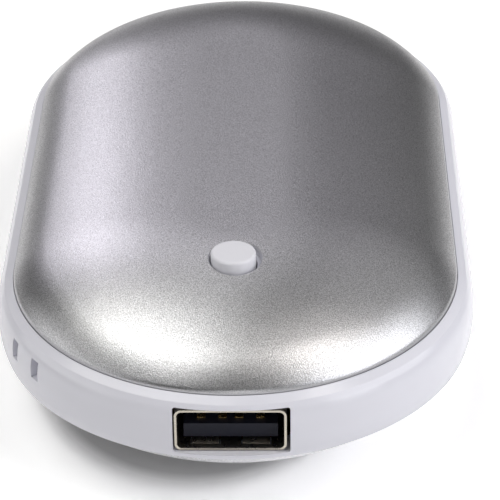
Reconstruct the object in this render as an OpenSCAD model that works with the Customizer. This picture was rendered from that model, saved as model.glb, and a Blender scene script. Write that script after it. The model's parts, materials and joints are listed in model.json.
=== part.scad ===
// Rechargeable hand warmer: two metal domes on a white middle ring, with a
// USB-A socket in front, a charging socket behind and a push button on top.
// Front is -Y, up is +Z, and the origin is under the middle, on the table.

/* [Body] */
// Overall length, front to back
body_len = 105; // [98:1:130]
// Overall width across the ring
body_w = 60; // [58:1:72]
// Overall height, crown to crown
body_h = 26; // [25:0.5:32]
// Half width of the flat on each crown
crown_flat = 5; // [3:0.5:8]
// Radius of a shell's shoulder
shoulder_r = 13; // [9:0.5:14]
// Steepness of a shell above its foot, in degrees
foot_slope = 52; // [50:1:60]
// Radius of the bend between a shell's skirt and its shoulder
foot_round = 0.7; // [0.4:0.1:1]
// Wall of the metal shells
shell_wall = 0.9; // [0.7:0.1:1.1]
// Length of the shells' skirts below the seam
skirt_h = 1; // [0.6:0.1:1.2]

/* [Ring] */
// Height of each seam above and below the middle
seam_h = 4.4; // [4.2:0.1:5.2]
// Inset of the seams from the outline
seam_inset = 2.15; // [1.9:0.05:2.6]
// Gap between a shell's foot and the ring
seam_gap = 0.1; // [0.1:0.05:0.3]
// Height of the ring's outer edges above and below the middle
edge_h = 3.7; // [3.2:0.1:3.9]
// Inset of the upper outer edge
upper_inset = 1; // [0.8:0.05:1.4]
// Inset of the lower outer edge
lower_inset = 0.45; // [0.2:0.05:1]
// Drop of the widest line below the middle
belly_drop = 1; // [0:0.1:1.5]
// Thickness of the ring's outer wall
ring_wall = 2; // [1.6:0.1:2.4]
// Depth of the ring's ledges from the outline
ledge_depth = 3.6; // [3.3:0.1:4.2]
// Thickness of each ledge
ledge_t = 1.2; // [0.8:0.1:1.5]

/* [Lanyard slots] */
// Width of each slot along the wall
slot_w = 1.5; // [1.4:0.1:2.4]
// Height of each slot
slot_h = 2.6; // [2.4:0.1:3.4]
// Height of the slots' middle above the ring's middle
slot_up = 1.1; // [0.5:0.1:1.4]
// Turn of the slots' middle from the right-hand side, in degrees
slot_turn = -148.2; // [-152:0.1:-140]
// Angle between the two slots, in degrees
slot_spread = 9.8; // [8.5:0.1:12]
// Thickness of the bar between the slots
bar_t = 2.2; // [1.8:0.1:2.5]
// Depth of the way behind the bar
bar_clear = 2.2; // [1.8:0.1:2.6]

/* [Button] */
// Distance of the button from the front end
button_back = 19.4; // [18:0.1:22]
// Offset of the button hole from the centre line
button_side = 0.3; // [-0.5:0.1:0.5]
// Offset of the cap in its hole
cap_shift = -0.25; // [-0.25:0.05:0]
// Diameter of the hole in the shell
hole_d = 6.3; // [6:0.1:7]
// Chamfer round the hole
hole_chamfer = 0.25; // [0.1:0.05:0.4]
// Diameter of the cap
cap_d = 5.5; // [5:0.1:5.6]
// Height of the cap's top above the crown
cap_rise = 0.4; // [0.2:0.05:0.6]
// Rounding of the cap's top edge
cap_round = 0.3; // [0.1:0.05:0.5]
// Diameter of the cap's flange
flange_d = 7.6; // [7.2:0.1:8]
// Thickness of the cap's flange
flange_t = 0.75; // [0.5:0.05:0.9]
// Travel of the button
press_travel = 0.3; // [0.2:0.05:0.35]

/* [USB-A socket] */
// Outer width of the socket's shell
usb_w = 13.2; // [13:0.1:13.4]
// Outer height of the socket's shell
usb_h = 5.7; // [5.6:0.1:5.9]
// Length of the socket's shell
usb_len = 14; // [12:0.5:16]
// Sheet thickness of the socket's shell
usb_sheet = 0.3; // [0.25:0.05:0.4]
// Distance of the socket's mouth behind the ring's front
usb_back = 1.25; // [0.9:0.05:1.6]
// Offset of the socket in its cut-out
usb_shift = -0.12; // [-0.15:0.01:0.15]
// Gap beside and above the socket in its cut-out
usb_gap = 0.3; // [0.2:0.05:0.4]
// Gap under the socket in its cut-out
usb_floor_gap = 0.1; // [0.05:0.05:0.2]

/* [Charging socket] */
// Outer width of the charging socket
micro_w = 7.5; // [7.4:0.1:7.8]
// Outer height of the charging socket
micro_h = 2.7; // [2.6:0.1:2.9]
// Length of the charging socket
micro_len = 5.6; // [5:0.1:6]
// Sheet thickness of the charging socket
micro_sheet = 0.25; // [0.2:0.05:0.3]
// Distance of its mouth inside the ring's back
micro_back = 1.2; // [0.9:0.1:1.5]

/* [Circuit board] */
// Width of the board
board_w = 24; // [22:0.5:25]
// Distance of the board's ends from the body's ends
board_end = 6.9; // [6.8:0.1:8]
// Thickness of the board
board_t = 1.2; // [1:0.1:1.6]
// Distance of the board's screws from its ends
screw_in = 2.4; // [2.2:0.1:3]
// Thread diameter of the board's screws
screw_d = 2; // [1.8:0.1:2.2]
// Length of the board's screws under the head
screw_len = 4.4; // [4:0.1:4.6]

/* [Battery] */
// Width of the battery
cell_w = 36; // [30:1:38]
// Thickness of the battery
cell_t = 9; // [7:0.5:9.5]
// Distance of the battery's front from the body's front
cell_back = 19.5; // [18:0.5:21]
// Distance of the battery's back from the body's back
cell_rear = 25.5; // [24:0.5:30]

/* [Heaters] */
// Thickness of the heating films
film_t = 0.2; // [0.1:0.05:0.3]
// Glue gap between film and shell
film_gap = 0.05; // [0.03:0.01:0.1]
// Inset of the heaters' windows from the outline
window_inset = 8.5; // [8:0.5:12]
// Distance of the upper heater from the body's front
heater_back = 27; // [26:0.5:34]

/* [Hidden] */
$fn = 64;

// One overrun serves all cuts
over = 0.5;
arc_steps = 8;

ring_r = body_w / 2;
end_y = body_len / 2 - ring_r;
front_y = -body_len / 2;
mid_z = body_h / 2;

// The shells' section: a bend, a shoulder arc, then a crown arc that ends in a flat
foot_r = ring_r - seam_inset;
bend_r = foot_r - foot_round * (1 - sin(foot_slope));
bend_z = seam_h + foot_round * cos(foot_slope);
dome_h = mid_z - bend_z;
dome_span = bend_r - crown_flat;
join_slope = 2 * atan((dome_h - shoulder_r * (1 - cos(foot_slope)))
    / (dome_span - shoulder_r * sin(foot_slope)));
crown_r = shoulder_r + (dome_span - shoulder_r * sin(foot_slope)) / sin(join_slope);
shoulder_x = bend_r - shoulder_r * sin(foot_slope);
shoulder_z = bend_z - shoulder_r * cos(foot_slope);
crown_z = mid_z - crown_r;

function arc(x, z, r, from_a, to_a) = [for (i = [0:arc_steps])
    let (a = from_a + (to_a - from_a) * i / arc_steps) [x + r * sin(a), z + r * cos(a)]];

// Half section of a dome drawn in by a depth, closed at a low level
function dome_section(depth, low) =
    let (bent = depth < foot_round,
        bend = bent ? arc(foot_r - foot_round, seam_h, foot_round - depth, 90, foot_slope) : [],
        edge = bent ? foot_r - depth : shoulder_x + (shoulder_r - depth) * sin(foot_slope))
    concat([[0, low], [edge, low]], bend,
    arc(shoulder_x, shoulder_z, shoulder_r - depth, foot_slope, join_slope),
    arc(crown_flat, crown_z, crown_r - depth, join_slope, 0),
    [[0, mid_z - depth]]);

// Height of a dome's surface at a radius within the crown arc
function dome_height(r, depth) = r < crown_flat ? mid_z - depth
    : crown_z + sqrt(pow(crown_r - depth, 2) - pow(r - crown_flat, 2));

// A half section carried round the body's outline
module round_outline(points) {
    for (turn = [0, 180])
        rotate([0, 0, turn])
            translate([0, end_y, 0]) {
                rotate_extrude(angle = 180) polygon(points);
                rotate([90, 0, 0]) linear_extrude(2 * end_y) polygon(points);
            }
}

// The body's outline drawn in, as a flat shape
module outline(inset) {
    r = ring_r - inset;
    translate([-r, -end_y]) square([2 * r, 2 * end_y]);
    for (side = [-1, 1]) translate([0, side * end_y]) circle(r);
}

// A block centred in X and Y that stands on a level
module block(size, at) {
    translate([at[0] - size[0] / 2, at[1] - size[1] / 2, at[2]]) cube(size);
}

// A flat rectangle with round corners, centred
module round_rect(w, h, r) {
    square([w - 2 * r, h], center = true);
    square([w, h - 2 * r], center = true);
    for (x = [-1, 1], y = [-1, 1])
        translate([x * (w / 2 - r), y * (h / 2 - r)]) circle(r);
}

// A rounded bar along Y from a start, centred on a height
module round_bar(w, h, r, from_y, len, at_x, at_z) {
    translate([at_x, from_y + len, at_z]) rotate([90, 0, 0]) linear_extrude(len) round_rect(w, h, r);
}

// Everything is drawn about the body's middle height
module lifted() {
    translate([0, 0, mid_z]) children();
}

// Ledges of the ring, level with the shells' skirts
ledge_top = seam_h - skirt_h;
ledge_low = ledge_top - ledge_t;
ledge_r = ring_r - ledge_depth;
rebate_r = foot_r + seam_gap;
belly_z = -belly_drop;
lean_power = 4;
tuck_power = 2;
function wall_inset(z) = z > belly_z ? upper_inset * pow((z - belly_z) / (edge_h - belly_z), lean_power)
    : lower_inset * pow((belly_z - z) / (edge_h + belly_z), tuck_power);
ring_section = concat(
    [for (i = [-arc_steps:arc_steps]) let (z = edge_h * i / arc_steps) [ring_r - wall_inset(z), z]],
    [[rebate_r, seam_h], [rebate_r, ledge_top], [ledge_r, ledge_top],
     [ledge_r, -ledge_top], [rebate_r, -ledge_top], [rebate_r, -seam_h]]);
groove_section = [[ledge_r - over, -ledge_low], [ring_r - ring_wall, -ledge_low],
    [ring_r - ring_wall, ledge_low], [ledge_r - over, ledge_low]];

// The board hangs the USB-A socket, so its underside is level with the shell
board_low = usb_h / 2;
board_top = board_low + board_t;
board_len = body_len - 2 * board_end;
board_corner = 2;
screw_y = board_len / 2 - screw_in;
boss_w = 4.6;
boss_front = 2;
boss_reach = 6;
boss_drop = 4.6;
boss_gap = 0.5;
screw_x = usb_w / 2 + boss_gap + boss_w / 2;
pilot_share = 0.8;
pilot_d = pilot_share * screw_d;

// Sockets' mouths and places
usb_mouth = front_y + usb_back;
usb_corner = 0.9;
micro_mouth = -front_y - micro_back;
micro_z = board_low - micro_h / 2;
micro_gap = 0.4;
micro_corner = 0.6;

// Place of the lanyard's way round its bar
slot_angle = slot_w / ring_r * 180 / PI;
way_angle = slot_spread + slot_angle;
way_r = ring_r - bar_t;
way_wall = 1;
module sector(r_in, r_out, angle, low, high) {
    translate([0, -end_y, low])
        rotate([0, 0, slot_turn - angle / 2])
            rotate_extrude(angle = angle) translate([r_in, 0]) square([r_out - r_in, high - low]);
}

// White middle ring with its ledges, port cut-outs, screw bosses and lanyard bar
module frame_ring() {
    slot_low = slot_up - slot_h / 2;
    slot_top = slot_up + slot_h / 2;
    wall_angle = way_angle + 2 * way_wall / ring_r * 180 / PI;
    color([0.87, 0.87, 0.89])
    lifted() difference() {
        union() {
            difference() {
                round_outline(ring_section);
                round_outline(groove_section);
            }
            sector(way_r - bar_clear - way_wall, ring_r - ring_wall / 2, wall_angle,
                slot_low - way_wall, slot_top + way_wall / 2);
            for (x = [-1, 1], y = [-1, 1])
                block([boss_w, boss_front + boss_reach, boss_drop],
                    [x * screw_x, y * (screw_y + (boss_reach - boss_front) / 2), board_low - boss_drop]);
        }
        for (x = [-1, 1], y = [-1, 1])
            translate([x * screw_x, y * screw_y, board_low - boss_drop - over])
                cylinder(d = pilot_d, h = boss_drop + 2 * over);
        round_bar(usb_w + 2 * usb_gap, usb_h + usb_gap + usb_floor_gap, usb_gap,
            front_y - over, ledge_depth + ring_wall + over, 0, (usb_gap - usb_floor_gap) / 2);
        round_bar(micro_w + 2 * micro_gap, micro_h + 2 * micro_gap, micro_corner,
            -front_y - ledge_depth - ring_wall, ledge_depth + ring_wall + over, 0, micro_z);
        sector(way_r - bar_clear, way_r, way_angle, slot_low, slot_top);
        for (side = [-1, 1])
            translate([0, -end_y, slot_low])
                rotate([0, 0, slot_turn + side * slot_spread / 2])
                    translate([way_r - over, -slot_w / 2, 0])
                        cube([bar_t + 2 * over, slot_w, slot_h]);
    }
}

// A stamped shell, drawn with its crown up
module metal_shell() {
    difference() {
        round_outline(dome_section(0, ledge_top));
        round_outline(dome_section(shell_wall, ledge_top - over));
    }
}

button_y = front_y + button_back;
cap_x = button_side + cap_shift;
cap_top = mid_z + cap_rise;

// Upper metal shell with the chamfered button hole, whose chamfer leans with the dome
module top_shell() {
    rim_r = -button_y - end_y;
    lean = asin((rim_r - crown_flat) / crown_r);
    rim_d = hole_d + 2 * hole_chamfer;
    cone_h = 4 * hole_chamfer;
    color([0.72, 0.73, 0.74])
    lifted() difference() {
        metal_shell();
        translate([button_side, button_y, 0]) cylinder(d = hole_d, h = mid_z + over);
        translate([button_side, button_y, dome_height(rim_r, 0)])
            rotate([lean, 0, 0]) translate([0, 0, -cone_h / 2])
                cylinder(d1 = rim_d - cone_h, d2 = rim_d + cone_h, h = cone_h);
    }
}

// Lower metal shell, whose flat crown is the rest face
module bottom_shell() {
    color([0.72, 0.73, 0.74])
    lifted() mirror([0, 0, 1]) metal_shell();
}

// Plastic liners bonded inside the shells, with hooks under the ring's ledges
liner_t = 1;
liner_gap = 0.1;
window_gap = 0.8;
liner_out = shell_wall + liner_gap;
liner_in = liner_out + liner_t;
hook_w = 5;
hook_t = 0.9;
hook_gap = 0.25;
hook_catch = 0.85;
barb_h = 0.9;
hook_shares = [-0.8, 0, 0.8];
rear_hook_turn = 48;
flange_gap = 0.1;
flange_top = dome_height(-button_y - end_y + flange_d / 2, liner_in) - flange_gap;
guide_gap = 0.15;
guide_wall = 1.2;

module hook() {
    hook_r = ledge_r - hook_gap;
    low = ledge_low - barb_h - liner_gap;
    translate([hook_r - hook_t, -hook_w / 2, low]) cube([hook_t, hook_w, ledge_top - low + liner_t]);
    translate([hook_r - hook_t, -hook_w / 2, low]) cube([hook_t + hook_catch, hook_w, barb_h]);
    translate([hook_r - hook_t, -hook_w / 2, ledge_top]) cube([hook_t + hook_gap, hook_w, liner_t]);
}

module liner(window_front) {
    difference() {
        round_outline(dome_section(liner_out, ledge_top));
        round_outline(dome_section(liner_in, ledge_top - over));
        linear_extrude(mid_z) intersection() {
            outline(window_inset);
            translate([-ring_r, window_front]) square([body_w, 2 * body_len]);
        }
    }
    for (side = [0, 180], share = hook_shares)
        rotate([0, 0, side]) translate([0, share * end_y, 0]) hook();
    for (turn = [90 - rear_hook_turn, 90 + rear_hook_turn])
        translate([0, end_y, 0]) rotate([0, 0, turn]) hook();
}

// Upper liner with the boss that guides the button
module upper_liner() {
    guide_top = dome_height(-button_y - end_y, liner_out) - liner_t / 2;
    boss_r = flange_d / 2 + guide_wall;
    color([0.87, 0.87, 0.89])
    lifted() difference() {
        union() {
            liner(front_y + heater_back - window_gap);
            intersection() {
                translate([cap_x, button_y, flange_top + flange_gap])
                    cylinder(r = boss_r, h = guide_top - flange_top);
                round_outline(dome_section(liner_out, 0));
            }
        }
        translate([cap_x, button_y, 0]) cylinder(d = cap_d + 2 * guide_gap, h = mid_z);
    }
}

module lower_liner() {
    color([0.87, 0.87, 0.89])
    lifted() mirror([0, 0, 1]) liner(-body_len);
}

// Round switch button cap, kept in by its flange
plunger_gap = 0.05;
switch_w = 6.2;
stem_len = 0.54;
plunger_d = 3.4;
plunger_rise = 0.8;
plunger_top = flange_top - flange_t - stem_len - plunger_gap;
switch_h = plunger_top - plunger_rise - board_top;
stem_d = 3;
module button_cap() {
    r = cap_d / 2;
    low = plunger_top + plunger_gap;
    color([0.93, 0.93, 0.92])
    lifted() translate([cap_x, button_y, 0])
        rotate_extrude()
            polygon(concat(
                [[0, low], [stem_d / 2, low], [stem_d / 2, flange_top - flange_t],
                 [flange_d / 2, flange_top - flange_t], [flange_d / 2, flange_top], [r, flange_top]],
                arc(r - cap_round, cap_top - cap_round, cap_round, 90, 0),
                [[0, cap_top]]));
}

// Push switch: housing, cover, plunger, snap dome and legs
switch_wall = 0.7;
switch_floor = 0.9;
cover_t = 0.3;
collar_t = 0.5;
collar_d = 4.4;
dome_t = 0.12;
dome_left = 0.25;
dome_crown = 0.1;
dome_rise = press_travel + dome_left;
dome_knee = dome_rise - dome_crown;
dome_d = 4.2;
plunger_clear = 0.08;
leg_t = 0.25;
leg_w = 0.7;
leg_out = 0.9;
module at_button(up) {
    lifted() translate([cap_x, button_y, up]) children();
}
module switch_body() {
    color([0.08, 0.08, 0.09])
    at_button(board_top) difference() {
        block([switch_w, switch_w, switch_h - cover_t], [0, 0, 0]);
        translate([0, 0, switch_floor])
            cylinder(d = switch_w - 2 * switch_wall, h = switch_h);
    }
}
module switch_cover() {
    color([0.75, 0.75, 0.76])
    at_button(board_top + switch_h - cover_t) difference() {
        block([switch_w, switch_w, cover_t], [0, 0, 0]);
        translate([0, 0, -over]) cylinder(d = plunger_d + 2 * plunger_clear, h = cover_t + 2 * over);
    }
}
module switch_plunger() {
    collar_top = board_top + switch_h - cover_t - plunger_clear;
    tip_low = board_top + switch_floor + dome_rise + dome_t + plunger_clear;
    color([0.1, 0.1, 0.1])
    at_button(0) {
        translate([0, 0, tip_low]) cylinder(d = plunger_d, h = plunger_top - tip_low);
        translate([0, 0, collar_top - collar_t]) cylinder(d = collar_d, h = collar_t);
    }
}
module switch_dome() {
    color([0.8, 0.8, 0.8])
    at_button(board_top + switch_floor) rotate_extrude()
        polygon([[0, dome_rise], [dome_d / 4, dome_knee], [dome_d / 2, 0],
            [dome_d / 2, dome_t], [dome_d / 4, dome_knee + dome_t], [0, dome_rise + dome_t]]);
}
module switch_terminals() {
    color([0.8, 0.8, 0.8])
    at_button(board_top) for (x = [-1, 1], y = [-1, 1])
        block([leg_out, leg_w, leg_t], [x * (switch_w + leg_out) / 2, y * (switch_w / 2 - leg_w), 0]);
}

// Board with its screw holes
module circuit_board() {
    hole = screw_d + 2 * guide_gap;
    color([0.05, 0.25, 0.12])
    lifted() translate([0, 0, board_low]) linear_extrude(board_t) difference() {
        round_rect(board_w, board_len, board_corner);
        for (x = [-1, 1], y = [-1, 1]) translate([x * screw_x, y * screw_y]) circle(d = hole);
    }
}
head_share = 1.8;
head_h_share = 0.6;
recess_share = 0.5;
screw_head_d = head_share * screw_d;
screw_head_h = head_h_share * screw_d;
recess_d = recess_share * screw_d;
module board_screws() {
    color([0.6, 0.6, 0.6])
    lifted() for (x = [-1, 1], y = [-1, 1])
        translate([x * screw_x, y * screw_y, board_top]) difference() {
            union() {
                cylinder(d = screw_head_d, h = screw_head_h);
                translate([0, 0, -screw_len]) cylinder(d = pilot_d, h = screw_len);
            }
            translate([0, 0, screw_head_h / 2])
                cylinder(d = recess_d, h = screw_head_h);
        }
}

// USB-A socket: folded shell with spring fingers in its floor, then the tongue
finger_w = 3.2;
finger_share = 0.238;
finger_len = 5;
finger_start = 0.8;
finger_t = 0.25;
finger_rise = 0.35;
usb_inner_h = usb_h - 2 * usb_sheet;
usb_inner_w = usb_w - 2 * usb_sheet;
finger_x = finger_share * usb_inner_w;
module usb_a_shell() {
    slot_edge = 0.2;
    finger_bend = finger_len / 4;
    finger_root = finger_len + slot_edge;
    floor_z = -usb_h / 2;
    color([0.78, 0.76, 0.7])
    lifted() translate([usb_shift, usb_mouth, 0]) {
        difference() {
            round_bar(usb_w, usb_h, usb_corner, 0, usb_len, 0, 0);
            round_bar(usb_inner_w, usb_inner_h, usb_corner - usb_sheet, -over, usb_len + 2 * over, 0, 0);
            for (x = [-1, 1])
                block([finger_w + 2 * slot_edge, finger_len + slot_edge, usb_sheet + 2 * over],
                    [x * finger_x, finger_start + (finger_len + slot_edge) / 2, floor_z - over]);
        }
        for (x = [-1, 1])
            translate([x * finger_x - finger_w / 2, finger_start, floor_z + usb_sheet])
                rotate([90, 0, 90]) linear_extrude(finger_w) polygon([
                    [slot_edge, -finger_t], [finger_bend, finger_rise - finger_t],
                    [finger_root, -usb_sheet], [finger_root + slot_edge, -usb_sheet],
                    [finger_root + slot_edge, 0], [finger_root, 0],
                    [finger_bend, finger_rise], [slot_edge, 0]]);
    }
}
tongue_side = 0.75;
tongue_w = usb_inner_w - 2 * tongue_side;
tongue_t = 1.84;
tongue_up = 0.72;
tongue_back = 1.4;
tongue_root = 9.5;
tongue_low = -usb_inner_h / 2 + tongue_up;
insulator_gap = 0.05;
module usb_a_insulator() {
    color([0.1, 0.1, 0.13])
    lifted() translate([usb_shift, usb_mouth, 0]) {
        block([tongue_w, tongue_root - tongue_back + over, tongue_t],
            [0, tongue_back + (tongue_root - tongue_back + over) / 2, tongue_low]);
        round_bar(usb_inner_w - 2 * insulator_gap, usb_inner_h - 2 * insulator_gap,
            usb_corner - usb_sheet, tongue_root, usb_len - tongue_root, 0, 0);
    }
}
contact_w = 1;
contact_t = 0.2;
contact_shares = [-0.315, -0.09, 0.09, 0.315];
contact_start = 2.4;
contact_len = 7;
module usb_a_contacts() {
    color([0.85, 0.65, 0.3])
    lifted() translate([usb_shift, usb_mouth, tongue_low + tongue_t])
        for (share = contact_shares)
            block([contact_w, contact_len, contact_t],
                [share * tongue_w, contact_start + contact_len / 2, 0]);
}

// Charging socket at the back
micro_tongue_w = 3.6;
micro_tongue_t = 0.6;
micro_tongue_back = 0.6;
micro_block = 2;
micro_pins = 5;
micro_pitch = 0.65;
micro_pin_w = 0.35;
micro_pin_t = 0.12;
module charge_shell() {
    color([0.75, 0.75, 0.74])
    lifted() difference() {
        round_bar(micro_w, micro_h, micro_corner, micro_mouth - micro_len, micro_len, 0, micro_z);
        round_bar(micro_w - 2 * micro_sheet, micro_h - 2 * micro_sheet, micro_corner - micro_sheet,
            micro_mouth - micro_len - over, micro_len + 2 * over, 0, micro_z);
    }
}
module charge_tongue() {
    back = micro_mouth - micro_len;
    tongue_len = micro_len - micro_tongue_back;
    drawn_in = 2 * (micro_sheet + insulator_gap);
    color([0.1, 0.1, 0.1])
    lifted() {
        round_bar(micro_w - drawn_in, micro_h - drawn_in,
            micro_corner - micro_sheet, back, micro_block, 0, micro_z);
        block([micro_tongue_w, tongue_len, micro_tongue_t], [0, back + tongue_len / 2, micro_z]);
    }
}
module charge_contacts() {
    pin_len = micro_len - micro_block - 2 * micro_tongue_back;
    color([0.85, 0.65, 0.3])
    lifted() for (i = [0:micro_pins - 1])
        block([micro_pin_w, pin_len, micro_pin_t],
            [(i - (micro_pins - 1) / 2) * micro_pitch,
             micro_mouth - micro_len + micro_block + pin_len / 2, micro_z - micro_pin_t]);
}

// Battery with its protection board, on foam that fills the lower dome
cell_len = body_len - cell_back - cell_rear;
cell_front = front_y + cell_back;
cell_mid = cell_front + cell_len / 2;
pad_t = 1.8;
cell_top = board_low - pad_t;
cell_low = cell_top - cell_t;
cell_round = 3;
tab_len = 3.6;
tab_w = 28;
tab_t = 1.2;
module battery_cell() {
    color([0.78, 0.79, 0.8])
    lifted() round_bar(cell_w, cell_t, cell_round, cell_front, cell_len, 0, (cell_low + cell_top) / 2);
}
module protection_board() {
    color([0.75, 0.55, 0.15])
    lifted() translate([0, cell_front + cell_len + tab_len / 2, cell_top - cell_t / 2])
        linear_extrude(tab_t) round_rect(tab_w, tab_len, tab_t / 2);
}
module battery_foam() {
    foam_w = cell_w - 2 * cell_round;
    foam_len = cell_len - 2 * cell_round;
    foam_depth = shell_wall + film_gap + film_t + film_gap;
    color([0.2, 0.2, 0.22])
    lifted() mirror([0, 0, 1]) intersection() {
        block([foam_w, foam_len, mid_z], [0, cell_mid, -cell_low]);
        round_outline(dome_section(foam_depth, 0));
    }
}
pad_len = 8;
pad_shares = [-0.3, 0.3];
module board_pads() {
    color([0.2, 0.2, 0.22])
    lifted() for (share = pad_shares)
        block([board_w - 2 * board_corner, pad_len, pad_t], [0, cell_mid + share * cell_len, cell_top]);
}

// Heating films that follow the domes
film_inset = window_inset + window_gap / 2;
film_out = shell_wall + film_gap;
film_in = film_out + film_t;
module heating_film(start_y) {
    intersection() {
        difference() {
            round_outline(dome_section(film_out, 0));
            round_outline(dome_section(film_in, -over));
        }
        linear_extrude(mid_z) intersection() {
            outline(film_inset);
            translate([-ring_r, start_y]) square([body_w, 2 * body_len]);
        }
    }
}
module upper_heater() {
    color([0.8, 0.5, 0.15])
    lifted() heating_film(front_y + heater_back);
}
module lower_heater() {
    color([0.8, 0.5, 0.15])
    lifted() mirror([0, 0, 1]) heating_film(-body_len);
}

// A lead swept along its points, with its rings square to the way
lead_sides = 8;
function unit(v) = v / norm(v);
function heading(path, i) = unit(path[min(i + 1, len(path) - 1)] - path[max(i - 1, 0)]);
module lead(path, d, side) {
    last = len(path) - 1;
    rings = [for (i = [0:last]) let (t = heading(path, i), n = unit(cross(t, side)), b = cross(t, n))
        for (k = [0:lead_sides - 1]) let (a = 360 * k / lead_sides)
            path[i] + d / 2 * (cos(a) * n + sin(a) * b)];
    sides = [for (i = [0:last - 1], k = [0:lead_sides - 1])
        let (a = i * lead_sides + k, b = i * lead_sides + (k + 1) % lead_sides)
            each [[a, a + lead_sides, b], [b, a + lead_sides, b + lead_sides]]];
    polyhedron(rings, concat([[for (k = [0:lead_sides - 1]) k]], sides,
        [[for (k = [lead_sides - 1:-1:0]) last * lead_sides + k]]));
}

// Routes of the leads, from the battery, the films and the bead to the board
lead_d = 1.2;
fine_d = 0.8;
twin_step = 2.4;
fine_step = 1.4;
lead_gap = 0.2;
film_edge = 1.6;
film_turn = 39.8;
bead_d = 2;
bead_w = 3;
bead_len = 4;
bead_x = 12.3;
bead_y = 12;
function film_height(x, y) = dome_height(norm([x, max(abs(y) - end_y, 0)]), film_in);
function placed(points, at) = [for (p = points) p + at];
tail_y = -front_y - cell_rear;
cell_route = placed([[-5, 3.6, -2.85], [-5, 5, -2.85], [-5.3, 7, -2.6], [-5.8, 8.8, -1.8], [-6.2, 10, -0.4],
    [-6.3, 10.5, 1.2], [-6.3, 10.5, 2.85]], [0, tail_y, 0]);
upper_start = [-12, -10];
upper_route = concat(
    placed([[0, 0, 0], [0, 0, -1.5], [0.2, -0.5, -3]],
        [upper_start[0], upper_start[1], film_height(upper_start[0], upper_start[1]) - lead_gap]),
    placed([[1, -1.5, 2.55], [1.7, -2, 1.55], [2, -2, 0.75], [2, -2, 0]],
        [upper_start[0], upper_start[1], board_top]));
lower_start = (ring_r - film_inset - film_edge) * [-cos(film_turn), sin(film_turn)] + [0, end_y];
lower_route = concat(
    placed([[0, 0, 0], [0, 0, 1.3], [-0.3, 0.3, 4.2], [-0.5, 0.6, 7.2]],
        [lower_start[0], lower_start[1], 2 * lead_gap - film_height(lower_start[0], lower_start[1])]),
    placed([[-3.4, 1, -2.55], [-2.8, 1, 0.15], [-1.6, 1, 1.75], [0, 1, 2.35], [1.5, 1, 1.85], [2, 1, 0.85],
        [2, 1, 0]], [-board_w / 2, lower_start[1], board_top]));
bead_top = dome_height(bead_x + bead_w / 2, film_in) - film_gap;
bead_route = concat(
    placed([[0, 0, 0], [0, 1.5, 0], [-0.2, 3, -0.9]],
        [bead_x + fine_step / 2, bead_y + bead_len / 2, bead_top - bead_w / 2]),
    placed([[-0.3, 6, 2.95], [-1.5, 6.4, 1.55], [-2, 6.4, 0.85], [-2, 6.4, 0]], [bead_x, bead_y, board_top]));
module battery_lead_positive() {
    color([0.75, 0.1, 0.08])
    lifted() lead(cell_route, lead_d, [1, 0, 0]);
}
module battery_lead_negative() {
    color([0.08, 0.08, 0.08])
    lifted() mirror([1, 0, 0]) lead(cell_route, lead_d, [1, 0, 0]);
}
module upper_heater_leads() {
    color([0.9, 0.9, 0.88])
    lifted() for (y = [0, twin_step]) translate([0, y, 0]) lead(upper_route, lead_d, [0, 1, 0]);
}
module lower_heater_leads() {
    color([0.9, 0.9, 0.88])
    lifted() for (y = [0, twin_step]) translate([0, -y, 0]) lead(lower_route, lead_d, [0, 1, 0]);
}
module thermistor_leads() {
    color([0.1, 0.1, 0.1])
    lifted() for (x = [0, fine_step]) translate([-x, 0, 0]) lead(bead_route, fine_d, [1, 0, 0]);
}

// Temperature sensor bead under the upper heater
module thermistor() {
    color([0.1, 0.35, 0.15])
    lifted() block([bead_w, bead_len, bead_d], [bead_x, bead_y, bead_top - bead_d]);
}

// Parts soldered to the board
led_w = 1.6;
led_len = 3;
led_h = 1.1;
led_gap = 1;
module status_leds() {
    color([0.95, 0.95, 0.8])
    lifted() for (side = [-1, 1])
        block([led_w, led_len, led_h],
            [cap_x + side * (switch_w / 2 + leg_out + led_gap + led_w / 2), button_y, board_top]);
}
coil_d = 7;
coil_h = 3.6;
coil_share = -0.29;
coil_waist = 0.6;
module power_inductor() {
    color([0.15, 0.15, 0.16])
    lifted() translate([0, cell_mid + coil_share * cell_len, board_top])
        rotate_extrude() polygon([[0, 0], [coil_d / 2, 0], [coil_d / 2, coil_waist],
            [coil_d / 2 - coil_waist, 2 * coil_waist],
            [coil_d / 2 - coil_waist, coil_h - 2 * coil_waist],
            [coil_d / 2, coil_h - coil_waist], [coil_d / 2, coil_h], [0, coil_h]]);
}
pin_w = 0.4;
pin_t = 0.2;
pin_out = 1;
// A chip with rows of legs on two sides
module chip(w, len, h, pins, at) {
    translate([at[0], at[1], board_top]) {
        block([w, len, h], [0, 0, pin_t]);
        for (side = [-1, 1], i = [0:pins - 1])
            block([pin_out + over, pin_w, pin_t],
                [side * (w / 2 + (pin_out - over) / 2), (i - (pins - 1) / 2) * len / pins, 0]);
        block([w - 2 * over, len - 2 * over, pin_t], [0, 0, 0]);
    }
}
chip_w = 4;
chip_len = 5;
chip_h = 1.4;
control_share = 0.208;
boost_share = -0.125;
module control_chip() {
    color([0.06, 0.06, 0.07])
    lifted() chip(chip_w + pin_out, 2 * chip_len, chip_h, 8, [0, cell_mid + control_share * cell_len]);
}
module boost_chip() {
    color([0.06, 0.06, 0.07])
    lifted() chip(chip_w, chip_len, chip_h, 4, [0, cell_mid + boost_share * cell_len]);
}
cap_can_d = 4;
cap_can_h = 4.2;
can_base_h = 0.8;
can_shares = [[0.27, -0.29], [0.27, -0.125], [-0.25, 0.01]];
module capacitors() {
    color([0.7, 0.7, 0.72])
    lifted() for (p = can_shares)
        translate([p[0] * board_w, cell_mid + p[1] * cell_len, board_top]) {
            block([cap_can_d, cap_can_d, can_base_h], [0, 0, 0]);
            cylinder(d = cap_can_d - 2 * pin_t, h = cap_can_h);
        }
}
res_w = 1.25;
res_len = 2;
res_h = 0.55;
res_row = 5;
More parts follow.
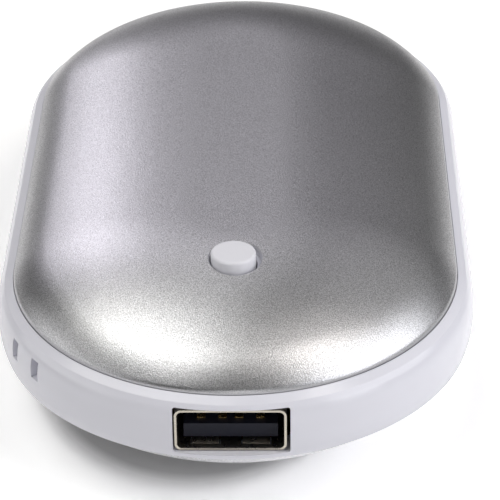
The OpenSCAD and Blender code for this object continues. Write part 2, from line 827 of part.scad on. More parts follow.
res_step = 2.6;
res_share = 0.04;
module resistors() {
    color([0.2, 0.2, 0.22])
    lifted() for (i = [0:res_row - 1])
        block([res_len, res_w, res_h],
            [board_w / 4, cell_mid + res_share * cell_len + i * res_step, board_top]);
}

frame_ring();
top_shell();
bottom_shell();
upper_liner();
lower_liner();
button_cap();
switch_body();
switch_cover();
switch_plunger();
switch_dome();
switch_terminals();
circuit_board();
board_screws();
usb_a_shell();
usb_a_insulator();
usb_a_contacts();
charge_shell();
charge_tongue();
charge_contacts();
battery_cell();
protection_board();
battery_lead_positive();
battery_lead_negative();
upper_heater();
lower_heater();
upper_heater_leads();
lower_heater_leads();
thermistor();
thermistor_leads();
battery_foam();
board_pads();
status_leds();
power_inductor();
control_chip();
boost_chip();
capacitors();
resistors();
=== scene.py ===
# Rechargeable hand warmer: smooth shells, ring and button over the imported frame, a
# procedural finish on every piece, a pale floor and soft studio light. Units are metres.
import json
import math

import bmesh
import bpy
import numpy as np
from mathutils import Matrix, Quaternion, Vector

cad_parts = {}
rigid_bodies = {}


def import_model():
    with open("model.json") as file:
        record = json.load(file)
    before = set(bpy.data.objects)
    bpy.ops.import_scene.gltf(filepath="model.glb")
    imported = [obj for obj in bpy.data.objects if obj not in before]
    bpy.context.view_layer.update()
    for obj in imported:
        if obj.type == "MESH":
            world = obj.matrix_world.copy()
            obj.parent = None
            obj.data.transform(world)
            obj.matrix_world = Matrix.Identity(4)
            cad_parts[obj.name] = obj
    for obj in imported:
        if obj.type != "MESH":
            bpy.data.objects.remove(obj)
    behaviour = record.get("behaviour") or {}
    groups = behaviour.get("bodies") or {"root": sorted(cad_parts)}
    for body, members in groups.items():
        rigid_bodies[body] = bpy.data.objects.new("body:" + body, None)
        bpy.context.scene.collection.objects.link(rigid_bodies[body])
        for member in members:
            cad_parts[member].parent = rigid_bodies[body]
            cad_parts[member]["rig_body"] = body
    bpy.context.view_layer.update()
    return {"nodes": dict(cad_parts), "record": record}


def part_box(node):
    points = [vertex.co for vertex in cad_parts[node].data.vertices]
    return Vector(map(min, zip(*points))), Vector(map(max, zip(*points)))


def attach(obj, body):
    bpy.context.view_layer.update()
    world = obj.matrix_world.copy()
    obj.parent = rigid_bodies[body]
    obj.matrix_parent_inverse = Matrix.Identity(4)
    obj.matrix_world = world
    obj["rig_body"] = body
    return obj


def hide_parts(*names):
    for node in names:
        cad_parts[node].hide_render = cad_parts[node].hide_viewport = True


for old in list(bpy.data.objects):
    bpy.data.objects.remove(old)
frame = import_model()
nodes = frame["nodes"]
mm = 0.001

# Sizes read from the frame
shell_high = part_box("top_shell")[1]
foot_r = shell_high.x
end_y = shell_high.y - foot_r
mid_z = shell_high.z / 2
skirt_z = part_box("top_shell")[0].z - mid_z
ring_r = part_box("frame_ring")[1].x
front_y = -end_y - ring_r
cap_low, cap_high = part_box("button_cap")
cap_at = (cap_low + cap_high) / 2
usb_low, usb_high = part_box("usb_a_shell")
micro_low, micro_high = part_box("charge_shell")

# The shells' section, about the body's middle height
seam_h = 4.4 * mm
foot_slope = math.radians(50)
foot_round = 1 * mm
# Painted shade: the height over which the metal's colour darkens towards the seam at the shells' foot
painted_foot_shade_h = 0.9 * mm
shoulder_r = 14 * mm
crown_flat = 5 * mm
shell_wall = 0.9 * mm
bend_r = foot_r - foot_round * (1 - math.sin(foot_slope))
bend_z = seam_h + foot_round * math.cos(foot_slope)
shoulder_x = bend_r - shoulder_r * math.sin(foot_slope)
shoulder_z = bend_z - shoulder_r * math.cos(foot_slope)
join_slope = 2 * math.atan((mid_z - shoulder_r - shoulder_z) / (shoulder_x - crown_flat))
crown_r = shoulder_r + (shoulder_x - crown_flat) / math.sin(join_slope)
crown_z = mid_z - crown_r

# The ring's section
seam_gap = 0.04 * mm
rebate_r = foot_r + seam_gap
belly_z = -1 * mm
edge_h = 3.7 * mm
upper_inset = 1.0 * mm
lower_inset = 0.45 * mm
lean_power = 4
tuck_power = 2
upper_round = 0.3 * mm
lower_round = 0.35 * mm
rebate_round = 0.06 * mm
ledge_depth = 3.6 * mm
ledge_t = 1.2 * mm
ring_wall = 2 * mm

# Cut-outs, lanyard slots and bosses
usb_gap = 0.3 * mm
usb_floor_gap = 0.1 * mm
micro_gap = 0.4 * mm
micro_corner = 0.6 * mm
slot_w = 1.5 * mm
slot_h = 2.6 * mm
slot_up = 1.1 * mm
slot_turn = math.radians(-148.2)
slot_spread = math.radians(9.8)
bar_t = 2.2 * mm
bar_clear = 2.2 * mm
way_wall = 1 * mm
over = 0.5 * mm

# The button and its hole
cap_shift = -0.25 * mm
hole_d = 6.3 * mm
hole_chamfer = 0.25 * mm
cap_d = 5.5 * mm
cap_round = 0.35 * mm
flange_r = (cap_high.x - cap_low.x) / 2
flange_t = 0.75 * mm
flange_rim = 0.1 * mm
stem_d = 3 * mm

# What a face belongs to
outside, inside, cut_face = 0, 1, 2

# How finely the pieces are drawn
body_turns = 256
round_turns = 96
foot_steps = 8
lining_steps = 5
wall_steps = 14
fillet_steps = 6
cap_steps = 10
way_steps = 24

# The least gaps that count, and the turns that count as smooth or as straight
same_place = 1e-7
same_corner = 1e-8
no_length = 1e-12
smooth_limit = math.cos(math.radians(32))
straight_half = math.radians(89.5)

# Corners are matched to a section's sides so many at a time, and a side that faces away counts as farther
corners_at_once = 20000
facing_weight = 0.3 * mm


def arc(x, z, r, start, stop, steps):
    """Points on an arc, with angles measured from straight up"""
    return [(x + r * math.sin(t), z + r * math.cos(t)) for t in np.linspace(start, stop, steps + 1)]


def dome_outline(depth, steps):
    """A dome's half section drawn in by a depth, from its foot up to its crown"""
    if depth < foot_round:
        points = [(foot_r - depth, skirt_z)]
        points += arc(foot_r - foot_round, seam_h, foot_round - depth, math.pi / 2, foot_slope, steps)
    else:
        points = [(shoulder_x + (shoulder_r - depth) * math.sin(foot_slope), skirt_z)]
    points += arc(shoulder_x, shoulder_z, shoulder_r - depth, foot_slope, join_slope, 3 * steps)
    points += arc(crown_flat, crown_z, crown_r - depth, join_slope, 0, 4 * steps)
    points.append((0, mid_z - depth))
    return [p for i, p in enumerate(points) if i == 0 or math.dist(p, points[i - 1]) > same_place]


def filleted(corners, steps=fillet_steps):
    """An outline from corners (x, z, radius), each rounded by an arc that touches both sides"""
    points = []
    for i, (x, z, r) in enumerate(corners):
        here = Vector((x, z))
        back = (Vector(corners[i - 1][:2]) - here).normalized()
        ahead = (Vector(corners[(i + 1) % len(corners)][:2]) - here).normalized()
        half = back.angle(ahead) / 2
        if r == 0 or half > straight_half:
            points.append((x, z))
            continue
        centre = here + (back + ahead).normalized() * (r / math.sin(half))
        first = (here + back * (r / math.tan(half)) - centre) / r
        last = (here + ahead * (r / math.tan(half)) - centre) / r
        for k in range(steps + 1):
            points.append(tuple(centre + r * first.slerp(last, k / steps)))
    return points


def stations(straight, turns):
    """Outward directions round an outline, each with the place of its arc's centre"""
    if straight == 0:
        return [(t, 0) for t in np.linspace(-math.pi, math.pi, turns, endpoint=False)]
    half = turns // 2
    return [(t, -straight) for t in np.linspace(-math.pi, 0, half + 1)] + [
        (t, straight) for t in np.linspace(0, math.pi, half + 1)]


def make_piece(name, bm, kinds=3):
    """A mesh object from a bmesh, with a slot for each kind of face"""
    bmesh.ops.recalc_face_normals(bm, faces=bm.faces)
    mesh = bpy.data.meshes.new(name)
    bm.to_mesh(mesh)
    bm.free()
    for _ in range(kinds):
        mesh.materials.append(None)
    piece = bpy.data.objects.new(name, mesh)
    bpy.context.scene.collection.objects.link(piece)
    return piece


def swept(name, section, closed, kinds, straight=0, turns=round_turns):
    """A half section carried round a stadium, or round a circle where it has no straight sides"""
    bm = bmesh.new()
    rows = []
    for turn, centre in stations(straight, turns):
        rows.append([bm.verts.new((r * math.cos(turn), centre + r * math.sin(turn), z)) for r, z in section])
    steps = len(section) if closed else len(section) - 1
    for i, row in enumerate(rows):
        ahead = rows[(i + 1) % len(rows)]
        for k in range(steps):
            m = (k + 1) % len(section)
            if section[k][0] == section[m][0] == 0:
                continue
            face = bm.faces.new((row[k], ahead[k], ahead[m], row[m]))
            face.material_index = kinds[k]
    bmesh.ops.remove_doubles(bm, verts=bm.verts, dist=same_corner)
    bmesh.ops.dissolve_degenerate(bm, edges=bm.edges, dist=same_corner)
    return make_piece(name, bm)


def extruded(outline, low, high, place):
    """A cutter: a flat outline carried from one height to another, then placed"""
    bm = bmesh.new()
    rows = [[bm.verts.new((x, y, z)) for x, y in outline] for z in (low, high)]
    bm.faces.new(rows[0])
    bm.faces.new(rows[1])
    for i in range(len(outline)):
        k = (i + 1) % len(outline)
        bm.faces.new((rows[0][i], rows[0][k], rows[1][k], rows[1][i]))
    return as_cutter(bm, place)


def cone(low_r, high_r, height, place):
    """A round cutter, centred on its middle"""
    bm = bmesh.new()
    bmesh.ops.create_cone(bm, cap_ends=True, segments=round_turns, radius1=low_r, radius2=high_r,
                          depth=height)
    return as_cutter(bm, place)


def as_cutter(bm, place):
    """A placed tool, all of whose faces leave cut faces behind"""
    for face in bm.faces:
        face.material_index = cut_face
    bmesh.ops.transform(bm, matrix=place, verts=bm.verts)
    return make_piece("cutter", bm)


def combine(piece, tool, operation):
    """Cuts a tool out of a piece, or joins it on, and removes the tool"""
    step = piece.modifiers.new("step", "BOOLEAN")
    step.operation = operation
    step.solver = "EXACT"
    step.object = tool
    graph = bpy.context.evaluated_depsgraph_get()
    made = bpy.data.meshes.new_from_object(piece.evaluated_get(graph))
    piece.modifiers.clear()
    piece.data = made
    bpy.data.objects.remove(tool)


def side_normals(section, closed):
    """Each side of a section: its start, its run and the normals at its two ends"""
    points = np.array(section)
    starts = points if closed else points[:-1]
    runs = (np.roll(points, -1, 0) - points)[: len(starts)]
    lengths = np.hypot(runs[:, 0], runs[:, 1])
    own = np.stack([runs[:, 1], -runs[:, 0]], 1) / lengths[:, None]
    first, last = own.copy(), own.copy()
    for i in range(0 if closed else 1, len(starts)):
        if own[i - 1] @ own[i] > smooth_limit:
            shared = own[i - 1] * lengths[i - 1] + own[i] * lengths[i]
            first[i] = last[i - 1] = shared / np.hypot(*shared)
    return starts, runs, lengths, first, last


def section_normals(corners, faces, section, closed, straight):
    """Normals of a swept surface at its corners, from the nearest side of its section"""
    starts, runs, lengths, first, last = side_normals(section, closed)
    off = corners[:, :2].copy()
    off[:, 1] -= np.clip(off[:, 1], -straight, straight)
    r = np.hypot(off[:, 0], off[:, 1])
    out = np.where(r[:, None] > same_place, off / np.maximum(r, same_place)[:, None], 0)
    flat_face = np.stack([(faces[:, :2] * out).sum(1), faces[:, 2]], 1)
    spot = np.stack([r, corners[:, 2]], 1)
    found = np.zeros((len(spot), 2))
    for at in range(0, len(spot), corners_at_once):
        rows = slice(at, at + corners_at_once)
        gap = spot[rows, None] - starts[None]
        t = np.clip((gap * runs).sum(2) / lengths**2, 0, 1)
        distance = np.linalg.norm(gap - t[..., None] * runs, axis=2)
        normal = first * (1 - t[..., None]) + last * t[..., None]
        normal /= np.linalg.norm(normal, axis=2)[..., None]
        facing = (normal * flat_face[rows, None]).sum(2)
        best = np.argmin(distance + facing_weight * (1 - np.abs(facing)), axis=1)
        pick = np.arange(len(best)), best
        found[rows] = normal[pick] * np.sign(facing[pick])[:, None]
    return np.concatenate([out * found[:, :1], found[:, 1:]], 1)


def shade(piece, section, closed, straight=0):
    """Smooth normals: from the section where a face is swept, from its neighbours where it is cut"""
    mesh = piece.data
    mesh.polygons.foreach_set("use_smooth", [True] * len(mesh.polygons))
    spots = np.array([v.co for v in mesh.vertices])
    users = np.array([loop.vertex_index for loop in mesh.loops])
    normals = np.zeros((len(users), 3))
    kinds = np.zeros(len(users), int)
    around = {}
    for face in mesh.polygons:
        loops = slice(face.loop_start, face.loop_start + face.loop_total)
        normals[loops] = face.normal
        kinds[loops] = face.material_index
        if face.material_index == cut_face:
            for v in face.vertices:
                around.setdefault(v, []).append((np.array(face.normal), face.area))
    for i in np.flatnonzero(kinds == cut_face):
        near = [n * area for n, area in around[users[i]] if n @ normals[i] > smooth_limit]
        total = np.sum(near, 0) if near else normals[i]
        normals[i] = total / max(np.linalg.norm(total), no_length)
    sweep = kinds != cut_face
    normals[sweep] = section_normals(spots[users[sweep]], normals[sweep], section, closed, straight)
    mesh.normals_split_custom_set(normals.tolist())


def finish_piece(piece, node, kind_looks):
    """Materials for each kind of face, the body and the CAD node of a new piece"""
    for i, look in enumerate(kind_looks):
        piece.data.materials[i] = look
    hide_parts(node)
    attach(piece, nodes[node]["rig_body"])


def make_shell(name):
    """A shell with no hole, and its section: outside from foot to crown, and inside back down"""
    outer = dome_outline(0, foot_steps)
    inner = dome_outline(shell_wall, lining_steps)[::-1]
    kinds = [outside] * (len(outer) - 1) + [inside] * (len(inner) + 1)
    section = outer + inner
    return swept(name, section, True, kinds, end_y, body_turns), section


def make_top_shell():
    """Upper shell, with the button hole and a chamfer that leans with the dome"""
    piece, section = make_shell("top_shell_skin")
    hole_x = cap_at.x - cap_shift
    rim_r = -cap_at.y - end_y
    lean = math.asin((rim_r - crown_flat) / crown_r)
    rim_z = crown_z + crown_r * math.cos(lean)
    hole = Matrix.Translation((hole_x, cap_at.y, mid_z))
    combine(piece, cone(hole_d / 2, hole_d / 2, mid_z, hole), "DIFFERENCE")
    rim = Matrix.Translation((hole_x, cap_at.y, rim_z)) @ Matrix.Rotation(lean, 4, "X")
    rim_at = hole_d / 2 + hole_chamfer
    flare = cone(rim_at - 2 * hole_chamfer, rim_at + 2 * hole_chamfer, 4 * hole_chamfer, rim)
    combine(piece, flare, "DIFFERENCE")
    shade(piece, section, True, end_y)
    piece.location.z = mid_z
    return piece


def make_bottom_shell():
    """Lower shell: the same form turned over"""
    piece, section = make_shell("bottom_shell_skin")
    shade(piece, section, True, end_y)
    piece.rotation_euler.y = math.pi
    piece.location.z = mid_z
    return piece


def wall_inset(z):
    """How far the ring's wall stands in from its widest line at a height"""
    if z > belly_z:
        return upper_inset * ((z - belly_z) / (edge_h - belly_z)) ** lean_power
    return lower_inset * ((belly_z - z) / (edge_h + belly_z)) ** tuck_power


def ring_section():
    """The ring's outline: its leaning wall, lands, rebates, ledges and inner wall"""
    ledge_r = ring_r - ledge_depth
    ledge_low = skirt_z - ledge_t
    inner_r = ring_r - ring_wall
    heights = np.linspace(-edge_h, edge_h, 2 * wall_steps + 1)
    wall = [(ring_r - wall_inset(z), z, 0) for z in heights]
    wall = [wall[0][:2] + (lower_round,)] + wall[2:-2] + [wall[-1][:2] + (upper_round,)]
    lands = [(rebate_r, seam_h, rebate_round), (rebate_r, skirt_z, 0), (ledge_r, skirt_z, 0),
             (ledge_r, ledge_low, 0), (inner_r, ledge_low, 0), (inner_r, -ledge_low, 0),
             (ledge_r, -ledge_low, 0), (ledge_r, -skirt_z, 0), (rebate_r, -skirt_z, 0),
             (rebate_r, -seam_h, rebate_round)]
    return filleted(wall + lands)


def bar(w, h, r, start, stop, z):
    """A rounded bar along Y, to cut with"""
    corners = [(w / 2, h / 2, r), (-w / 2, h / 2, r), (-w / 2, -h / 2, r), (w / 2, -h / 2, r)]
    place = Matrix.Translation((0, 0, z)) @ Matrix.Rotation(math.pi / 2, 4, "X")
    return extruded(filleted(corners), -stop, -start, place)


def sector(inner, outer, angle, low, high):
    """A stretch of the ring about the front end's centre, to cut or to join"""
    turns = np.linspace(slot_turn - angle / 2, slot_turn + angle / 2, way_steps + 1)
    outline = [(outer * math.cos(t), outer * math.sin(t)) for t in turns]
    outline += [(inner * math.cos(t), inner * math.sin(t)) for t in turns[::-1]]
    return extruded(outline, low, high, Matrix.Translation((0, -end_y, 0)))


def make_ring():
    """White ring with the port cut-outs and the lanyard's way round its bar"""
    section = ring_section()
    piece = swept("ring_skin", section, True, [outside] * len(section), end_y, body_turns)
    way_r = ring_r - bar_t
    way_angle = slot_spread + slot_w / ring_r
    slot_low = slot_up - slot_h / 2
    slot_top = slot_up + slot_h / 2
    housing = sector(way_r - bar_clear - way_wall, ring_r - ring_wall / 2,
                     way_angle + 2 * way_wall / ring_r, slot_low - way_wall, slot_top + way_wall / 2)
    combine(piece, housing, "UNION")
    depth = ledge_depth + ring_wall
    usb_w = usb_high.x - usb_low.x + 2 * usb_gap
    usb_h = usb_high.z - usb_low.z + usb_gap + usb_floor_gap
    usb_z = (usb_low.z + usb_high.z + usb_gap - usb_floor_gap) / 2 - mid_z
    combine(piece, bar(usb_w, usb_h, usb_gap, front_y - over, front_y + depth, usb_z), "DIFFERENCE")
    micro_w = micro_high.x - micro_low.x + 2 * micro_gap
    micro_h = micro_high.z - micro_low.z + 2 * micro_gap
    micro_z = (micro_low.z + micro_high.z) / 2 - mid_z
    socket = bar(micro_w, micro_h, micro_corner, -front_y - depth, -front_y + over, micro_z)
    combine(piece, socket, "DIFFERENCE")
    combine(piece, sector(way_r - bar_clear, way_r, way_angle, slot_low, slot_top), "DIFFERENCE")
    for side in (-1, 1):
        turn = slot_turn + side * slot_spread / 2
        place = Matrix.Translation((0, -end_y, 0)) @ Matrix.Rotation(turn, 4, "Z")
        outline = [(way_r - over, -slot_w / 2), (ring_r + over, -slot_w / 2),
                   (ring_r + over, slot_w / 2), (way_r - over, slot_w / 2)]
        combine(piece, extruded(outline, slot_low, slot_top, place), "DIFFERENCE")
    shade(piece, section, True, end_y)
    piece.location.z = mid_z
    return piece


def make_cap():
    """Button cap with a softly rounded rim, kept in by its flange"""
    low, high = cap_low.z, cap_high.z
    flange_top = flange_top_z()
    corners = [(cap_d / 2, high, cap_round), (0, high, 0), (0, low, 0), (stem_d / 2, low, 0),
               (stem_d / 2, flange_top - flange_t, 0), (flange_r, flange_top - flange_t, 0),
               (flange_r, flange_top, 0), (cap_d / 2, flange_top, 0)]
    section = filleted(corners, cap_steps)
    first = section.index((0, high))
    section = section[first + 1:] + section[:first + 1]
    piece = swept("cap_skin", section, False, [outside] * (len(section) - 1))
    shade(piece, section, False)
    piece.location = (cap_at.x, cap_at.y, 0)
    return piece


def flange_top_z():
    """Height of the cap's flange: the widest part of its CAD solid"""
    rim = [v.co.z for v in nodes["button_cap"].data.vertices
           if math.hypot(v.co.x - cap_at.x, v.co.y - cap_at.y) > flange_r - flange_rim]
    return max(rim)


# What the finishes share: the range that a noise keeps to, its detail, and limits
noise_low = 0.3
noise_high = 0.7
fine_detail = 3
broad_detail = 2
broad_ratio = 25
least_rough = 0.02
bevel_samples = 4

# The blasted metal. Its relief and its specks have so many noise cells to the body's height.
# A noise is weak at whole multiples of its cell, so both have the crown half a cell off.
relief_cells = 195.5
relief_detail = 1
relief_h = 0.032 * mm
speck_cells = 208.5
speck_detail = 0
speck_drift = 0.28
cloud_grain = 60
metal_colour = (0.745, 0.74, 0.755)
metal_rough = (0.31, 0.33)
# Painted shade: the darker colour the metal is given at its foot, by the seam with the ring
painted_foot_shade_colour = (0.40, 0.40, 0.42, 1)


def new_material(name):
    """A material, with its nodes, its links and its shader"""
    look = bpy.data.materials.new(name)
    look.use_nodes = True
    tree = look.node_tree
    return look, tree.nodes, tree.links, tree.nodes["Principled BSDF"]


def noise(tree_nodes, links, scale, detail):
    """Noise over the object's own place, in features per metre"""
    where = tree_nodes.new("ShaderNodeTexCoord").outputs["Object"]
    texture = tree_nodes.new("ShaderNodeTexNoise")
    texture.inputs["Scale"].default_value = scale
    texture.inputs["Detail"].default_value = detail
    links.new(where, texture.inputs["Vector"])
    return texture.outputs["Fac"]


def combined(tree_nodes, links, operation, first, second):
    """A math node on two values, each a socket or a number"""
    node = tree_nodes.new("ShaderNodeMath")
    node.operation = operation
    for i, value in enumerate((first, second)):
        if isinstance(value, bpy.types.NodeSocket):
            links.new(value, node.inputs[i])
        else:
            node.inputs[i].default_value = value
    return node.outputs["Value"]


def spread(tree_nodes, links, source, low, high, start=noise_low, stop=noise_high):
    """A value carried from one range into another, by default from that of a noise"""
    span = tree_nodes.new("ShaderNodeMapRange")
    span.inputs["From Min"].default_value = start
    span.inputs["From Max"].default_value = stop
    span.inputs["To Min"].default_value = low
    span.inputs["To Max"].default_value = high
    links.new(source, span.inputs["Value"])
    return span.outputs["Result"]


def tinted(tree_nodes, links, source, colour, drift):
    """A colour that a noise makes lighter and darker by a share"""
    mix = tree_nodes.new("ShaderNodeMix")
    mix.data_type = "RGBA"
    mix.inputs["A"].default_value = tuple(c * (1 - drift) for c in colour) + (1,)
    mix.inputs["B"].default_value = tuple(min(1, c * (1 + drift)) for c in colour) + (1,)
    links.new(spread(tree_nodes, links, source, 0, 1), mix.inputs["Factor"])
    return mix.outputs["Result"]


def bumped(tree_nodes, links, source, height, before=None):
    """Normals with a relief of a height, over those of the mesh or others"""
    bump = tree_nodes.new("ShaderNodeBump")
    bump.inputs["Strength"].default_value = 1
    bump.inputs["Distance"].default_value = height
    links.new(source, bump.inputs["Height"])
    if before:
        links.new(before, bump.inputs["Normal"])
    return bump.outputs["Normal"]


def plain_finish(name, colour, roughness, metallic=0, grain=2500, drift=0.05, rough_drift=0.06,
                 height=0.002 * mm, edge=0, **sockets):
    """A finish whose colour, gloss and relief all vary with a fine grain"""
    look, tree_nodes, links, shader = new_material(name)
    shader.inputs["Metallic"].default_value = metallic
    for socket, value in sockets.items():
        shader.inputs[socket.replace("_", " ")].default_value = value
    fine = noise(tree_nodes, links, grain, fine_detail)
    broad = noise(tree_nodes, links, grain / broad_ratio, broad_detail)
    links.new(tinted(tree_nodes, links, broad, colour, drift), shader.inputs["Base Color"])
    rough = spread(tree_nodes, links, fine, max(least_rough, roughness - rough_drift),
                   roughness + rough_drift)
    links.new(rough, shader.inputs["Roughness"])
    before = None
    if edge:
        bevel = tree_nodes.new("ShaderNodeBevel")
        bevel.samples = bevel_samples
        bevel.inputs["Radius"].default_value = edge
        before = bevel.outputs["Normal"]
    links.new(bumped(tree_nodes, links, fine, height, before), shader.inputs["Normal"])
    return look


def blasted_metal():
    """Bead-blasted, clear anodised aluminium, with a fine relief, fine bright specks and painted shade at
    its foot by the seam
    """
    look, tree_nodes, links, shader = new_material("blasted_metal")
    shader.inputs["Metallic"].default_value = 1
    relief = noise(tree_nodes, links, relief_cells / (2 * mid_z), relief_detail)
    speck = noise(tree_nodes, links, speck_cells / (2 * mid_z), speck_detail)
    cloud = noise(tree_nodes, links, cloud_grain, broad_detail)
    place = tree_nodes.new("ShaderNodeSeparateXYZ")
    links.new(tree_nodes.new("ShaderNodeTexCoord").outputs["Object"], place.inputs["Vector"])
    # Painted shade: the metal is coloured darker at its foot, fading out up to a height over the seam
    above_painted_foot_shade = spread(tree_nodes, links, place.outputs["Z"], 0, 1, seam_h, seam_h + painted_foot_shade_h)
    colour = tree_nodes.new("ShaderNodeMix")
    colour.data_type = "RGBA"
    colour.inputs["A"].default_value = painted_foot_shade_colour
    links.new(above_painted_foot_shade, colour.inputs["Factor"])
    links.new(tinted(tree_nodes, links, speck, metal_colour, speck_drift), colour.inputs["B"])
    links.new(colour.outputs["Result"], shader.inputs["Base Color"])
    links.new(spread(tree_nodes, links, cloud, *metal_rough), shader.inputs["Roughness"])
    links.new(bumped(tree_nodes, links, relief, relief_h), shader.inputs["Normal"])
    return look


# The finish of each material slot: its name, colour and roughness, whether it is metal, and what else
# sets it apart
finishes = {
    "white_plastic": lambda: plain_finish("ring_plastic", (0.885, 0.88, 0.955), 0.18, grain=1800,
                                          drift=0.012, rough_drift=0.02, height=0.0012 * mm,
                                          edge=0.12 * mm),
    "anodised_metal": blasted_metal,
    "black_plastic": lambda: plain_finish("liner_plastic", (0.045, 0.045, 0.05), 0.5),
    "button_plastic": lambda: plain_finish("button_plastic", (0.90, 0.895, 0.95), 0.42, grain=2200,
                                           drift=0.015, height=0.001 * mm),
    "tinned_steel": lambda: plain_finish("tinned_steel", (0.72, 0.72, 0.73), 0.3, 1, edge=0.05 * mm),
    "board_green": lambda: plain_finish("solder_mask", (0.02, 0.16, 0.07), 0.28, grain=900, drift=0.15),
    "nickel_plate": lambda: plain_finish("nickel_plate", (0.46, 0.43, 0.37), 0.3, 1, grain=1500,
                                         edge=0.06 * mm),
    "socket_plastic": lambda: plain_finish("socket_plastic", (0.010, 0.011, 0.022), 0.5, drift=0.2,
                                           Specular_IOR_Level=0.25),
    "gold_plate": lambda: plain_finish("gold_plate", (0.83, 0.58, 0.24), 0.25, 1, edge=0.05 * mm),
    "foil_pouch": lambda: plain_finish("foil_pouch", (0.66, 0.67, 0.68), 0.36, 0.8, grain=300,
                                       height=0.02 * mm),
    "amber_film": lambda: plain_finish("amber_film", (0.62, 0.30, 0.05), 0.25, grain=400, drift=0.12),
    "red_sleeve": lambda: plain_finish("red_sleeve", (0.60, 0.04, 0.03), 0.45),
    "black_sleeve": lambda: plain_finish("black_sleeve", (0.03, 0.03, 0.03), 0.45),
    "white_sleeve": lambda: plain_finish("white_sleeve", (0.80, 0.80, 0.78), 0.45),
    "green_resin": lambda: plain_finish("green_resin", (0.06, 0.25, 0.10), 0.3),
    "grey_foam": lambda: plain_finish("grey_foam", (0.13, 0.13, 0.14), 0.95, grain=1200, drift=0.3,
                                      height=0.15 * mm),
    "clear_resin": lambda: plain_finish("clear_resin", (0.85, 0.82, 0.66), 0.15, Coat_Weight=0.5),
    "ferrite": lambda: plain_finish("ferrite", (0.10, 0.10, 0.11), 0.6, drift=0.2),
    "black_resin": lambda: plain_finish("black_resin", (0.04, 0.04, 0.045), 0.5, drift=0.15),
    "can_aluminium": lambda: plain_finish("can_aluminium", (0.74, 0.74, 0.75), 0.3, 1),
}
slot_of = {part["node"]: part["material_slot"] for part in frame["record"]["subparts"]}
looks = {name: make() for name, make in finishes.items()}
for node_name, node in nodes.items():
    for material_slot in node.material_slots:
        material_slot.material = looks[slot_of[node_name]]

metal = looks["anodised_metal"]
machined = plain_finish("machined_edge", (0.70, 0.70, 0.72), 0.32, 1, grain=3000)
finish_piece(make_top_shell(), "top_shell", [metal, machined, machined])
finish_piece(make_bottom_shell(), "bottom_shell", [metal, machined, machined])
white = looks["white_plastic"]
finish_piece(make_ring(), "frame_ring", [white, white, white])
soft_white = looks["button_plastic"]
finish_piece(make_cap(), "button_cap", [soft_white, soft_white, soft_white])

# The camera, fitted to the photograph's socket, ring and domes
lens = 180.16
camera_place = Vector((0.006954, -0.289538, 0.184037))
camera_target = Vector((0.00164, -0.010925, mid_z))
camera_roll = -0.01131
near_limit = 0.01
far_limit = 20

# The floor's brightness: its own, its painted pool of light as seen, the far part painted darker, and the
# share
# # of brightness left in the painted contact shadow under the body
floor_r = 3
floor_colour = 0.8
floor_seen = 1.6
far_painted_dark = 0.6
# Painted pool of light: the floor round the body, its size, and how soon it gives way to the far part
# painted darker
painted_pool_w = 75 * mm
painted_pool_len = 115 * mm
painted_pool_edge = 1.8
# Painted contact shadow: the floor is painted darker along the body's foot, off to its left, down to a share
painted_shadow_x = -5 * mm
painted_shadow_straight = 10 * mm
painted_shadow_r = 32.2 * mm
painted_shadow_narrow = 0.66
painted_shadow_soft = 4.4 * mm
painted_shadow_dark = 0.38
room_colour = (0.01, 0.01, 0.01, 1)

# The soft boxes: turn, height, width and length in degrees, then radiance and tint
plain = (1, 1, 1)
cool = (1.03, 1, 1.08)
pale_blue = (0.99, 1, 1.03)
warm = (1.04, 1, 0.95)
pale_yellow = (1, 1, 0.96)
softboxes = {
    "right_side": (107, 28, 55, 32, 2.3, pale_blue),
    "right_front": (126, 10, 22, 26, 1.7, pale_blue),
    "right_high": (115, 60, 16, 20, 4.4, warm),
    "left_high": (281, 56, 30, 18, 2.7, pale_yellow),
    "left_front": (235, 70, 24, 26, 2.15, pale_yellow),
    "left_low": (262, 15, 58, 22, 1.2, plain),
    "overhead": (290, 75, 80, 12, 0.85, plain),
    "front_low": (176, 13, 18, 18, 2.4, plain),
    "front_mid": (225, 44, 18, 20, 0.65, plain),
    "back_left": (330, 28, 14, 24, 2.45, cool),
    "back_mid": (348, 36, 20, 28, 0.46, cool),
    "back": (14, 39, 32, 36, 0.21, cool),
    "back_right": (52, 38, 38, 36, 0.26, plain),
    "back_high": (82, 66, 36, 14, 0.3, plain),
}


def make_camera():
    """The photograph's camera"""
    data = bpy.data.cameras.new("camera")
    data.lens = lens
    camera = bpy.data.objects.new("camera", data)
    camera.location = camera_place
    camera.rotation_mode = "QUATERNION"
    aim = (camera_target - camera_place).to_track_quat("-Z", "Y")
    camera.rotation_quaternion = aim @ Quaternion((0, 0, 1), camera_roll)
    data.clip_start = near_limit
    data.clip_end = far_limit
    bpy.context.scene.collection.objects.link(camera)
    bpy.context.scene.camera = camera


def make_softbox(name, turn, height, across, along, radiance, tint):
    """A soft box a metre off, at a turn clockwise from the back and a height above level"""
    data = bpy.data.lights.new(name, "AREA")
    data.color = tint
    data.shape = "RECTANGLE"
    data.size = 2 * math.tan(math.radians(across) / 2)
    data.size_y = 2 * math.tan(math.radians(along) / 2)
    data.energy = radiance * math.pi * data.size * data.size_y
    lamp = bpy.data.objects.new(name, data)
    turn, height = math.radians(turn), math.radians(height)
    toward = Vector((math.sin(turn) * math.cos(height), math.cos(turn) * math.cos(height),
                     math.sin(height)))
    lamp.location = toward + Vector((0, 0, mid_z))
    lamp.rotation_mode = "QUATERNION"
    lamp.rotation_quaternion = toward.to_track_quat("Z", "Y")
    bpy.context.scene.collection.objects.link(lamp)


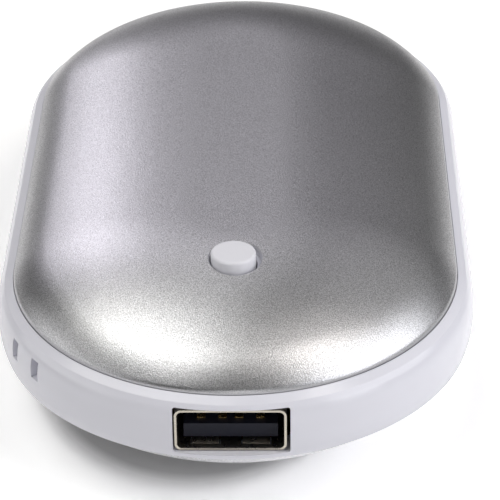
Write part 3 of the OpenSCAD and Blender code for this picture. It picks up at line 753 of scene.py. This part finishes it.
def distance_from(tree_nodes, links, centre, scale, straight=0):
    """Distance over the floor from a line along Y, of this half length, in units of a scale"""
    around = tree_nodes.new("ShaderNodeMapping")
    around.vector_type = "TEXTURE"
    around.inputs["Location"].default_value = centre
    around.inputs["Scale"].default_value = scale
    links.new(tree_nodes.new("ShaderNodeTexCoord").outputs["Object"], around.inputs["Vector"])
    parts = tree_nodes.new("ShaderNodeSeparateXYZ")
    links.new(around.outputs["Vector"], parts.inputs["Vector"])
    flat = tree_nodes.new("ShaderNodeCombineXYZ")
    links.new(parts.outputs["X"], flat.inputs["X"])
    along = combined(tree_nodes, links, "ABSOLUTE", parts.outputs["Y"], 0)
    past = combined(tree_nodes, links, "SUBTRACT", along, straight)
    links.new(combined(tree_nodes, links, "MAXIMUM", past, 0), flat.inputs["Y"])
    reach = tree_nodes.new("ShaderNodeVectorMath")
    reach.operation = "LENGTH"
    links.new(flat.outputs["Vector"], reach.inputs[0])
    return reach.outputs["Value"]


def make_floor():
    """A pale floor, white in a painted pool of light that darkens far off, keeping its shadow and a painted
    one
    """
    bm = bmesh.new()
    bmesh.ops.create_circle(bm, cap_ends=True, segments=round_turns, radius=floor_r)
    floor = make_piece("floor", bm, 1)
    look, tree_nodes, links, shader = new_material("floor")
    tree_nodes.remove(shader)
    path = tree_nodes.new("ShaderNodeLightPath")
    seen = path.outputs["Is Camera Ray"]
    for kind in ("Is Glossy Ray", "Is Transmission Ray"):
        seen = combined(tree_nodes, links, "MAXIMUM", seen, path.outputs[kind])
    # A painted pool of light: the floor keeps its near brightness round the object and is painted darker far
    # off
    reach = distance_from(tree_nodes, links, (0, 0, 0), (painted_pool_w, painted_pool_len, 1))
    far = spread(tree_nodes, links, reach, 0, 1, 1, painted_pool_edge)
    # Painted contact shadow: the floor as seen is painted darker under the body, a little to its left
    foot = distance_from(tree_nodes, links, (painted_shadow_x, 0, 0), (painted_shadow_narrow, 1, 1), painted_shadow_straight)
    painted_shadow_share = spread(tree_nodes, links, foot, painted_shadow_dark, 1, painted_shadow_r, painted_shadow_r + painted_shadow_soft)
    near_level = tree_nodes.new("ShaderNodeMix")
    near_level.inputs["A"].default_value = floor_colour
    links.new(combined(tree_nodes, links, "MULTIPLY", painted_shadow_share, floor_seen), near_level.inputs["B"])
    links.new(seen, near_level.inputs["Factor"])
    level = tree_nodes.new("ShaderNodeMix")
    links.new(far, level.inputs["Factor"])
    links.new(near_level.outputs["Result"], level.inputs["A"])
    level.inputs["B"].default_value = far_painted_dark
    diffuse = tree_nodes.new("ShaderNodeBsdfDiffuse")
    links.new(level.outputs["Result"], diffuse.inputs["Color"])
    links.new(diffuse.outputs["BSDF"], tree_nodes["Material Output"].inputs["Surface"])
    floor.data.materials[0] = look


def make_world():
    """A nearly dark room, as the soft boxes give the light"""
    world = bpy.data.worlds.new("studio")
    world.use_nodes = True
    world.node_tree.nodes["Background"].inputs["Color"].default_value = room_colour
    bpy.context.scene.world = world


make_camera()
make_floor()
make_world()
for box_name, values in softboxes.items():
    make_softbox(box_name, *values)
bpy.context.scene.view_settings.view_transform = "Standard"
